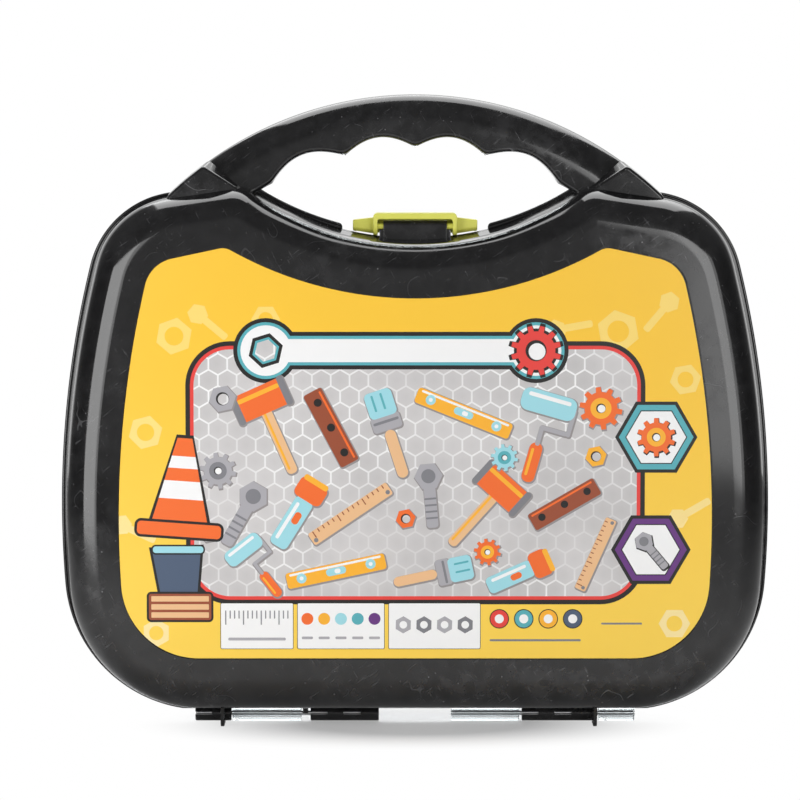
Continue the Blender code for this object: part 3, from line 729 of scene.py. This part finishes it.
def roller():
    return [
        (box, (0, -10, 4.2, 13, 2), "orange", "rim"), (box, (-0.9, -10, 0.9, 9, 0.4), "amber"),
        (box, (0, -1.4, 1.4, 6, 0.6), "steel", "rim"), (box, (3.8, 1.6, 9, 1.4, 0.6), "steel", "rim"),
        (box, (8.6, 5.4, 1.4, 9, 0.6), "steel", "rim"), (box, (0, 9.4, 18, 7.4, 2.6), "sky", "rim"),
        (box, (0, 11.2, 14, 1.3, 0.6), "white"),
    ]


def brush():
    return [
        (box, (0, -8, 3.6, 16, 1.8), "wood", "rim"), (box, (0, 2.5, 9.5, 5, 1), "steel", "rim"),
        (box, (0, 2.9, 8.4, 0.9, 0.4), "iron"), (box, (0, 8.8, 9, 8.6, 1.6), "sky", "rim"),
        (box, (-2, 9.4, 0.7, 5.4, 0.3), "teal"), (box, (1, 9.4, 0.7, 5.4, 0.3), "teal"),
    ]


def spiritLevel():
    return [
        (box, (0, 0, 40, 6.4, 1.2), "amber", "rim"), (box, (0, 2.1, 37, 0.9, 0.4), "white"),
        (box, (0, 0, 8, 3, 1.4), "sky"), (box, (0.6, 0, 2.4, 1.8, 0.8), "white"),
        (circle, (-14, 0, 2), "sky"), (circle, (14, 0, 2), "sky"),
        (circle, (-14, 0, 0.8), "white"), (circle, (14, 0, 0.8), "white"),
    ]


def foldRule():
    parts = [(box, (0, 0, 34, 5, 0.8), "wood", "rim")]
    for i in range(15):
        long = 2.6 if i % 5 == 0 else 1.4
        parts.append((box, (-15 + i * 2.15, 2.3 - long / 2, 0.42, long, 0.15), "brown"))
    parts += [(circle, (-15.6, -1, 0.8), "iron"), (circle, (15.6, -1, 0.8), "iron")]
    return parts


def bolt():
    parts = [(box, (0, -4, 3.6, 14, 1), "steel", "rim"), (circle, (0, 5, 4.4, 6), "steel", "rim")]
    parts += [(box, (0, y, 3.6, 0.6, 0.2), "iron") for y in (-2, -4, -6, -8)]
    return parts + [(circle, (0, 5, 2.2), "iron")]


def ringNut(ink):
    hole = [(circle, (0, 0, 2.9), "black"), (circle, (0.3, -0.3, 2.4), "grey")]
    return [(circle, (0, 0, 6, 6), ink, "rim")] + hole


def wheel(ink, core):
    hole = [(circle, (0, 0, 2.1), "black"), (circle, (0.2, -0.2, 1.7), "white")]
    return [(cog, (0, 0, 7.2, 10, 2.2), ink, "rim"), (circle, (0, 0, 4.6), core)] + hole


def trapezium(low, lowHalf, high, highHalf):
    return [(-lowHalf, low), (lowHalf, low), (highHalf, high), (-highHalf, high)]


def plank():
    return [
        (box, (0, 0, 26, 6.4, 0.8), "brown", "rim"), (box, (0, 2.1, 24, 0.7, 0.3), "orange"),
        *[(circle, (x, 0, 1.3), "black") for x in (-9, 0, 9)],
    ]


def torch():
    return [
        (box, (0, -5, 6, 17, 1.6), "sky", "rim"), (box, (-1.4, -5, 1.1, 13, 0.5), "white"),
        (box, (0, 6.4, 9.4, 6.6, 1.8), "orange", "rim"), (box, (0, 9.6, 8.4, 1.8, 0.8), "amber"),
        (box, (0.6, -3, 2.2, 4, 1), "orange"),
    ]


def badge(x, y, size, rimInk):
    stack(circle, (x, y, size, 6), (1.6, "black"), (0, rimInk), (-2.6, "black"), (-3.1, "white"))


def printDesign():
    ghosts = (
        (-100, 62, 20, 1.3), (-62, 69, 0, 1.0), (84, 64, 40, 1.5), (-112, 22, 15, 1.2), (112, 44, 10, 1.1),
        (108, -58, 0, 1.1), (-108, -62, 30, 1.0),
    )
    for x, y, turn, size in ghosts:
        lay(spin(circle(0, 0, 6, 6), x, y, turn, size), "ghost")
        lay(spin(circle(0, 0, 3), x, y, turn, size), "yellow")
    for x, y, turn in ((-84, 66, 50), (100, 70, -40), (-115, -20, 65), (116, -10, 120), (66, 66, 100)):
        lay(spin(box(0, 0, 3, 15, 1), x, y, turn), "ghost")
        lay(spin(circle(0, 8, 4.4, 6), x, y, turn), "ghost")

    stack(box, (0, 5, 184, 103, 15), (3.4, "black"), (1.5, "red"), (0, "grey"))
    for grow, ink in ((3.0, "black"), (1.3, "teal"), (0, "white")):  # long spanner over the panel's top edge
        lay(box(-6, 56, 110, 9.6, 4.8, grow), ink)
        lay(circle(-62, 56, 10.5 + grow, 40), ink)
        lay(circle(50, 56, 10.5 + grow, 40), ink)
    stack(circle, (-62, 56, 7.4, 6, 0.3), (0, "black"), (-1.6, "teal"), (-2.7, "grey"))
    stack(cog, (50, 56, 8, 12, 2.4), (1.2, "black"), (0, "red"))
    lay(circle(50, 56, 4.4), "black")
    lay(circle(50.4, 55.6, 3.5), "white")

    tools = (
        (mallet, -59, 24, 24, 1.3), (plank, -35, 24, -62, 1.3), (brush, -11, 23, 18, 1.3),
        (spiritLevel, 20, 30, -22, 1.05), (roller, 52, 22, -16, 1.3), (torch, -48, -10, -32, 1.35),
        (foldRule, -27, -12, 34, 1.15), (bolt, 6, -3, 5, 1.35), (mallet, 28, -10, -42, 1.25),
        (plank, 62, -8, 30, 1.2), (bolt, -71, -11, -30, 1.45), (brush, 9, -37, -78, 1.15),
        (spiritLevel, -33, -36, 12, 1.05), (torch, 45, -36, -66, 1.2), (roller, -66, -34, 38, 0.95),
        (foldRule, 75, -29, 66, 0.95),
    )
    for tool, x, y, turn, size in tools:
        motif(tool(), x, y, turn, size)
    wheels = (
        ("orange", "amber", 77, 32, 0.95), ("steel", "iron", -82, 6, 0.8), ("sky", "teal", 37, 11.5, 0.6),
        ("orange", "amber", 30, -28, 0.6),
    )
    for ink, core, x, y, size in wheels:
        motif(wheel(ink, core), x, y, 8, size)
    nuts = (
        ("steel", -80, 36, 0.95), ("orange", -4, -14, 0.7), ("amber", 75, 12, 0.75), ("steel", -86, -20, 0.65),
    )
    for ink, x, y, size in nuts:
        motif(ringNut(ink), x, y, 12, size)

    x, y, size = -97, 0, 1.4  # cone on a bucket on planks
    for grow, ink in ((1.14, "black"), (1.0, "orange")):
        wedge = [(u * grow, v * (1 + (grow - 1) / 2)) for u, v in trapezium(-12, 8.5, 14, 2.2)]
        lay(spin(wedge, x, y, -4, size), ink)
    for band in (trapezium(-4.2, 6.6, 1.2, 5.3), trapezium(5, 4.4, 8.6, 3.5)):
        lay(spin(band, x, y, -4, size), "white")
    for grow, ink in ((0.8, "black"), (0, "orange")):
        lay(spin(box(0, -13.4, 25, 4, 1.2, grow), x, y, -4, size), ink)
    for grow, ink in ((1.43, "black"), (1.28, "slate")):
        lay(spin(trapezium(-9, 6, 6, 8), -99, -34, 3, grow), ink)
    stack(box, (-98.7, -27, 21, 2.8, 1.2), (0.7, "black"), (0, "sky"))
    stack(box, (-98, -51, 26, 11, 1), (0.9, "black"), (0, "brown"))
    for low in (-47.6, -51, -54.4):
        lay(box(-98, low, 24, 2.3, 0.3), "wood")

    badge(100, 20, 15.5, "teal")
    motif(wheel("orange", "amber"), 100, 20, 0, 0.85, 0.4, "black")
    badge(98, -27, 15, "purple")
    motif(bolt(), 98, -27, 40, 0.9, 0.4, "black")

    row = -59
    for x, wide in ((-66, 30), (-31, 36), (8, 38)):
        stack(box, (x, row, wide, 19, 0.5), (0.25, "black"), (0, "white"))
    for i in range(15):
        long = 6 if i % 4 == 0 else 3.4
        lay(box(-79 + i * 1.85, row + 6.5 - long / 2, 0.5, long, 0.2), "iron")
    lay(box(-66, row - 5.5, 24, 1.2, 0.5), "steel")
    for i, ink in enumerate(("orange", "amber", "sky", "teal", "purple")):
        lay(circle(-45 + i * 7, row + 3, 2.5), ink)
        lay(box(-45 + i * 7, row - 5, 4.6, 1.1, 0.4), "steel")
    for i, ink in enumerate(("steel", "iron", "steel", "iron")):
        x = -5 + i * 8.6
        lay(circle(x, row + 0.5, 3.6, 6, 0.5), ink)
        lay(circle(x, row + 0.5, 1.6), "white")
    for i, ink in enumerate(("red", "teal", "amber", "slate")):
        stack(circle, (35 + i * 10.2, row + 3, 3.7), (0.4, "black"), (0, ink), (-1.8, "white"))
    lay(box(50, row - 6, 38, 0.9, 0.4), "iron")
    lay(box(86, row + 1, 17, 0.8, 0.3), "iron")


def labelPiece():
    printDesign()
    border = [(x * 1000, (z - sheet["middle"]) * 1000) for x, z in outline(labelEdge, fineSteps)]
    faces = [(border, "yellow")] + [(points, ink) for points, ink in shapes]
    coords, loops = [], []
    for points, ink in faces:
        area = sum(p[0] * q[1] - q[0] * p[1] for p, q in zip(points, points[1:] + points[:1]))
        ordered = points if area > 0 else points[::-1]
        loops.append(list(range(len(coords), len(coords) + len(ordered))))
        coords += [Vector(p) for p in ordered]
    verts, _, cells, _, _, fromFaces = delaunay_2d_cdt(coords, [], loops, 1, sheet["merge"], True)

    inkOrder = list(inks)
    clearSelection()
    bpy.ops.mesh.primitive_plane_add(size=0.1)
    label = bpy.context.object
    label.name = label.data.name = "printedLabel"
    shape = bmesh.new()
    made = [shape.verts.new((v.x / 1000, sheet["front"], v.y / 1000 + sheet["middle"])) for v in verts]
    for cell, owners in zip(cells, fromFaces):
        if 0 not in owners:
            continue
        face = shape.faces.new([made[i] for i in cell])
        face.material_index = inkOrder.index(faces[max(owners)][1])
    bmesh.ops.delete(shape, geom=[v for v in shape.verts if not v.link_faces], context="VERTS")
    bmesh.ops.recalc_face_normals(shape, faces=shape.faces)
    if sum(face.normal.y for face in shape.faces) > 0:
        bmesh.ops.reverse_faces(shape, faces=shape.faces)
    shape.to_mesh(label.data)
    shape.free()
    return change(label, "SOLIDIFY", thickness=sheet["thick"], offset=-1)


label = labelPiece()
print("label cut,", len(label.data.polygons), "faces")


# Finishes

class Wire:
    # a socket that can be reckoned with
    def __init__(self, tree, socket=None):
        self.tree, self.socket = tree, socket

    def node(self, kind, settings=None, inputs=None, output=0):
        made = self.tree.nodes.new(kind)
        for key, value in (settings or {}).items():
            setattr(made, key, value)
        for key, value in (inputs or {}).items():
            if isinstance(value, Wire):
                self.tree.links.new(value.socket, made.inputs[key])
            else:
                made.inputs[key].default_value = value
        return Wire(self.tree, made.outputs[output])

    def maths(self, operation, *values):
        return self.node("ShaderNodeMath", {"operation": operation}, dict(enumerate(values)))

    def __add__(self, other):
        return self.maths("ADD", self, other)

    def __radd__(self, other):
        return self.maths("ADD", other, self)

    def __sub__(self, other):
        return self.maths("SUBTRACT", self, other)

    def __rsub__(self, other):
        return self.maths("SUBTRACT", other, self)

    def __mul__(self, other):
        return self.maths("MULTIPLY", self, other)

    def __rmul__(self, other):
        return self.maths("MULTIPLY", other, self)

    def __truediv__(self, other):
        return self.maths("DIVIDE", self, other)

    def size(self):
        return self.maths("ABSOLUTE", self)

    def wrap(self, step):
        return self.maths("FLOORED_MODULO", self, step)

    def between(self, low, high):
        # 0 below low, 1 above high, smooth between
        values = {"Value": self, "From Min": low, "From Max": high}
        return self.node("ShaderNodeMapRange", {"interpolation_type": "SMOOTHSTEP"}, values)

    def blend(self, one, two):
        return self.node("ShaderNodeMix", {"data_type": "RGBA"}, {0: self, 6: one, 7: two}, output=2)


def finishOf(name, values):
    material = bpy.data.materials.new(name)
    material.use_nodes = True
    principled = material.node_tree.nodes["Principled BSDF"]
    for key, value in values.items():
        principled.inputs[key].default_value = value
    return material, principled, Wire(material.node_tree)


def noise(paint, place, scale, detail=2.0, rough=0.5):
    values = {"Vector": place, "Scale": scale, "Detail": detail, "Roughness": rough}
    return paint.node("ShaderNodeTexNoise", None, values)


def objectPlace(paint):
    return paint.node("ShaderNodeTexCoord", output=3)


def along(paint, vector, axis):
    return paint.node("ShaderNodeSeparateXYZ", None, {"Vector": vector}, output=axis)


def stretched(paint, place, settings=None, **values):
    return paint.node("ShaderNodeMapping", settings, {"Vector": place, **values})


def link(wire, shader, key):
    wire.tree.links.new(wire.socket, shader.inputs[key])


def blackPlastic():
    look = {
        "base": (0.0090, 0.0088, 0.0093, 1), "dust": (0.13, 0.13, 0.135, 1), "rough": 0.085, "roughMore": 0.25,
    }
    wear = {"scratch": 0.7, "hair": 0.6, "speck": 1.4, "mottle": 0.12, "haze": 0.12}
    material, principled, paint = finishOf("black plastic", {"IOR": 1.6})
    place = objectPlace(paint)
    turned = {"vector_type": "TEXTURE"}
    long = stretched(paint, place, turned, Rotation=(0, 0.95, 0), Scale=(0.0010, 0.010, 0.008))
    cross = stretched(paint, place, turned, Rotation=(0, -0.5, 0), Scale=(0.0009, 0.010, 0.007))
    lines = noise(paint, long, 1.0, 3.0).between(0.64, 0.78) + noise(paint, cross, 1.0, 3.0).between(0.66, 0.80)
    patches = noise(paint, place, 22.0, 3.0).between(0.40, 0.68)
    curls = (noise(paint, place, 48.0, 1.5) - 0.5).size().between(0.0050, 0.0022)
    hairs = curls * noise(paint, place, 95.0, 1.0).between(0.56, 0.64)
    cells = {"Vector": place, "Scale": 330.0}
    dot = paint.node("ShaderNodeTexVoronoi", None, cells).between(0.13, 0.07)
    chance = along(paint, paint.node("ShaderNodeTexVoronoi", None, cells, output=1), 0)
    specks = dot * chance.between(0.55, 0.95)
    marks = (lines * wear["scratch"] + hairs * wear["hair"] + specks * wear["speck"]) * (0.25 + patches * 0.75)
    mottle = noise(paint, place, 150.0, 4.0, 0.6).between(0.32, 0.68)
    haze = mottle * (0.35 + patches) * wear["haze"]
    link((marks + haze).blend(look["base"], look["dust"]), principled, "Base Color")
    link(look["rough"] + patches * mottle * wear["mottle"] + marks * look["roughMore"], principled, "Roughness")
    wave = noise(paint, place, 9.0, 1.0)
    bump = paint.node("ShaderNodeBump", None, {"Strength": 0.05, "Distance": 0.002, "Height": wave})
    link(bump, principled, "Normal")
    return material


def mixShaders(material, factor, principled, other):
    tree = material.node_tree
    body = Wire(tree, principled.outputs[0])
    mixed = body.node("ShaderNodeMixShader", None, {0: factor, 1: body, 2: other})
    link(mixed, tree.nodes["Material Output"], "Surface")


def clearPlastic():
    material, principled, paint = finishOf("clear plastic", {
        "Base Color": (0.93, 0.96, 0.965, 1), "Roughness": 0.04, "IOR": 1.47, "Transmission Weight": 1.0,
    })
    seeThrough = paint.node("ShaderNodeBsdfTransparent", None, {"Color": (0.86, 0.86, 0.865, 1)})
    shadowRay = paint.node("ShaderNodeLightPath", output=1)
    mixShaders(material, shadowRay, principled, seeThrough)
    return material


def limePlastic():
    material, principled, paint = finishOf("lime plastic", {"IOR": 1.5})
    place = objectPlace(paint)
    cloud = noise(paint, place, 60.0, 2.0)
    link(cloud.between(0.3, 0.7).blend((0.86, 0.85, 0.13, 1), (0.91, 0.90, 0.16, 1)), principled, "Base Color")
    link(0.30 + cloud * 0.08, principled, "Roughness")
    return material


def pinSteel():
    material, principled, paint = finishOf("pin steel", {"Base Color": (0.64, 0.64, 0.65, 1), "Metallic": 1.0})
    place = objectPlace(paint)
    drawn = stretched(paint, place, Scale=(30, 2500, 2500))
    link(0.22 + noise(paint, drawn, 1.0) * 0.14, principled, "Roughness")
    return material


def labelInk(name, colour):
    values = {"IOR": 1.46, "Roughness": 0.34, "Base Color": (*colour, 1)}
    material, principled, paint = finishOf("ink " + name, values)
    place = objectPlace(paint)
    if name in ("yellow", "ghost"):
        height = along(paint, place, 2)
        deep = tuple(c * f for c, f in zip(colour, (1.0, 1.0, 0.9))) + (1,)
        pale = tuple(min(1.0, c * f) for c, f in zip(colour, (1.0, 1.12, 1.9))) + (1,)
        link(height.between(0.03, 0.17).blend(pale, deep), principled, "Base Color")
    if name == "grey":
        link(honeycomb(paint, place), principled, "Base Color")
    return material


def honeycomb(paint, place):
    cell = {
        "size": 0.0078, "line": 0.055, "grey": (0.55, 0.535, 0.535, 1), "light": (0.69, 0.67, 0.67, 1),
        "white": (0.93, 0.93, 0.93, 1),
    }
    high, wide = sqrt(3), 1.0
    x, z = along(paint, place, 0) / cell["size"], along(paint, place, 2) / cell["size"]
    ax, az = (x.wrap(wide) - wide / 2).size(), (z.wrap(high) - high / 2).size()
    bx, bz = ((x + wide / 2).wrap(wide) - wide / 2).size(), ((z + high / 2).wrap(high) - high / 2).size()

    def reach(u, v):
        return u.maths("MAXIMUM", u, u * 0.5 + v * (high / 2))
    nearest = x.maths("MINIMUM", reach(ax, az), reach(bx, bz))
    line = nearest.between(0.5 - cell["line"], 0.5 - cell["line"] + 0.02)
    fade = noise(paint, place, 16.0, 1.0).between(0.35, 0.62)
    tone = noise(paint, place, 26.0, 1.0).between(0.3, 0.7)
    body = (tone * 0.6 + nearest * 0.5).blend(cell["grey"], cell["light"])
    return (line * (0.25 + fade * 0.75)).blend(body, cell["white"])


def dress(piece, materials, body, slot, *nodes):
    for material in materials:
        piece.data.materials.append(material)
    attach(piece, body)
    for node in nodes:
        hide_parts(node)


dress(frontHalf, [blackPlastic()], "front", "black_plastic", "front_shell")
dress(rearHalf, [clearPlastic()], "cover", "clear_plastic", "rear_cover")
dress(latch, [limePlastic()], "latch_body", "lime_plastic", "latch")
steel = pinSteel()
dress(pins[0], [steel], "front", "pin_steel", "hinge_pin_left")
dress(pins[1], [steel], "front", "pin_steel", "hinge_pin_right")
dress(label, [labelInk(name, colour) for name, colour in inks.items()], "front", "label_print", "label")
print("finishes set")


# Studio

lamps = {  # place, aim, width, height, strength
    "over box": ((0.07, 0.582, 1.270), (0, -0.032, 0.239), 1.22, 0.91, 3.3),
    "over edge": ((0.07, 0.985, 0.914), (0, 0, 0.22), 1.22, 0.26, 2.0),
    "left inner": ((-0.2606, -0.652, 0.175), (0.0564, -0.147, 0.175), 0.06, 0.35, 2.0),
    "left box": ((-0.4724, -0.519, 0.175), (-0.1554, -0.014, 0.175), 0.44, 0.35, 4.4),
    "right inner": ((0.2495, -1.1698, 0.275), (-0.1275, -0.1228, 0.275), 0.103, 0.55, 2.3),
    "right box": ((0.5555, -1.0595, 0.275), (0.1785, -0.0125, 0.275), 0.547, 0.55, 3.6),
    "right end": ((0.86, -0.88, 0.275), (0.13, -0.03, 0.275), 0.24, 0.55, 1.7),
}


def softbox(name, place, aim, wide, high, strength):
    # a flat lamp that faces its aim; strength is how bright its face looks
    bpy.ops.object.light_add(type="AREA", location=place)
    lamp = bpy.context.object
    lamp.name = name
    lamp.data.shape, lamp.data.size, lamp.data.size_y = "RECTANGLE", wide, high
    lamp.data.energy = strength * wide * high * pi
    lamp.rotation_euler = (Vector(aim) - Vector(place)).to_track_quat("-Z", "Y").to_euler()
    lamp.visible_camera = False


clearSelection()
for name, values in lamps.items():
    softbox(name, *values)

# floor colours: a bright middle, with painted shade making the sides darker and the far floor dark, standing in
# for light falling off away from the lamps
floorLook = {
    "size": 2.2, "middle": (0.95, 0.95, 0.95, 1), "sides": (0.68, 0.68, 0.68, 1), "far": (0.2, 0.2, 0.2, 1),
    "shadowStart": 0.004, "shadowEnd": 0.068, "leastGlow": 0.28,
}


def floorPaper():
    look = floorLook
    material, principled, paint = finishOf("floor paper", {"Roughness": 0.7, "Specular IOR Level": 0.2})
    place = objectPlace(paint)
    radius = paint.node("ShaderNodeVectorMath", {"operation": "LENGTH"}, {0: place}, output=1)
    # painted shade: the floor colour is made darker towards the sides and far away, as if less light reached
    # there
    paperFalloff = along(paint, place, 0).size().between(0.1, 0.4).blend(look["middle"], look["sides"])
    link(radius.between(0.25, 1.0).blend(paperFalloff, look["far"]), principled, "Base Color")
    # the camera sees a white floor that keeps the shadow round the middle
    near = stretched(paint, place, Location=(0, 0.006, 0), Scale=(0.55, 1, 1))
    away = paint.node("ShaderNodeVectorMath", {"operation": "LENGTH"}, {0: near}, output=1)
    bright = away.between(look["shadowStart"], look["shadowEnd"])
    fade = paint.maths("MAXIMUM", bright, look["leastGlow"]) * paint.node("ShaderNodeLightPath", output=0)
    glow = paint.node("ShaderNodeEmission", None, {"Color": (1, 1, 1, 1), "Strength": 1.0})
    mixShaders(material, fade, principled, glow)
    return material


clearSelection()
bpy.ops.mesh.primitive_plane_add(size=floorLook["size"])
floor = bpy.context.object
floor.name = floor.data.name = "studioFloor"
floor.data.materials.append(floorPaper())

roomLight = {"everywhere": 0.06, "sides": 0.09, "backdrop": 0.8, "front": 0.18}
world = bpy.data.worlds.new("studio")
bpy.context.scene.world = world
world.use_nodes = True
sky = Wire(world.node_tree)
background = world.node_tree.nodes["Background"]
background.inputs["Color"].default_value = (1, 1, 1, 1)
cameraRay = sky.node("ShaderNodeLightPath", output=0)
throughRay = sky.node("ShaderNodeLightPath", output=6)
way = sky.node("ShaderNodeTexCoord", output=0)
across, deep = along(sky, way, 0), along(sky, way, 1)
# a white backdrop behind, dark sides, and a dim room in front
room = roomLight["everywhere"] + across.size().between(1.0, 0.72) * roomLight["sides"]
room = room + deep.between(0.68, 0.84) * roomLight["backdrop"]
room = room + (0 - deep).between(0.8, 0.98) * roomLight["front"]
link(sky.maths("MAXIMUM", room, sky.maths("MAXIMUM", cameraRay, throughRay)), background, "Strength")

view = {"lens": 3411.85 / 800 * 36, "target": (-0.006375, 0, 0.137807), "distance": 1.45, "pitch": radians(4.4)}
camera = bpy.data.objects.new("camera", bpy.data.cameras.new("camera"))
bpy.context.scene.collection.objects.link(camera)
camera.data.lens, camera.data.clip_end = view["lens"], 50
target = Vector(view["target"])
camera.location = target + view["distance"] * Vector((0, -cos(view["pitch"]), sin(view["pitch"])))
camera.rotation_euler = (target - camera.location).to_track_quat("-Z", "Y").to_euler()
bpy.context.scene.camera = camera
bpy.context.scene.view_settings.view_transform = "Standard"
print("studio set")
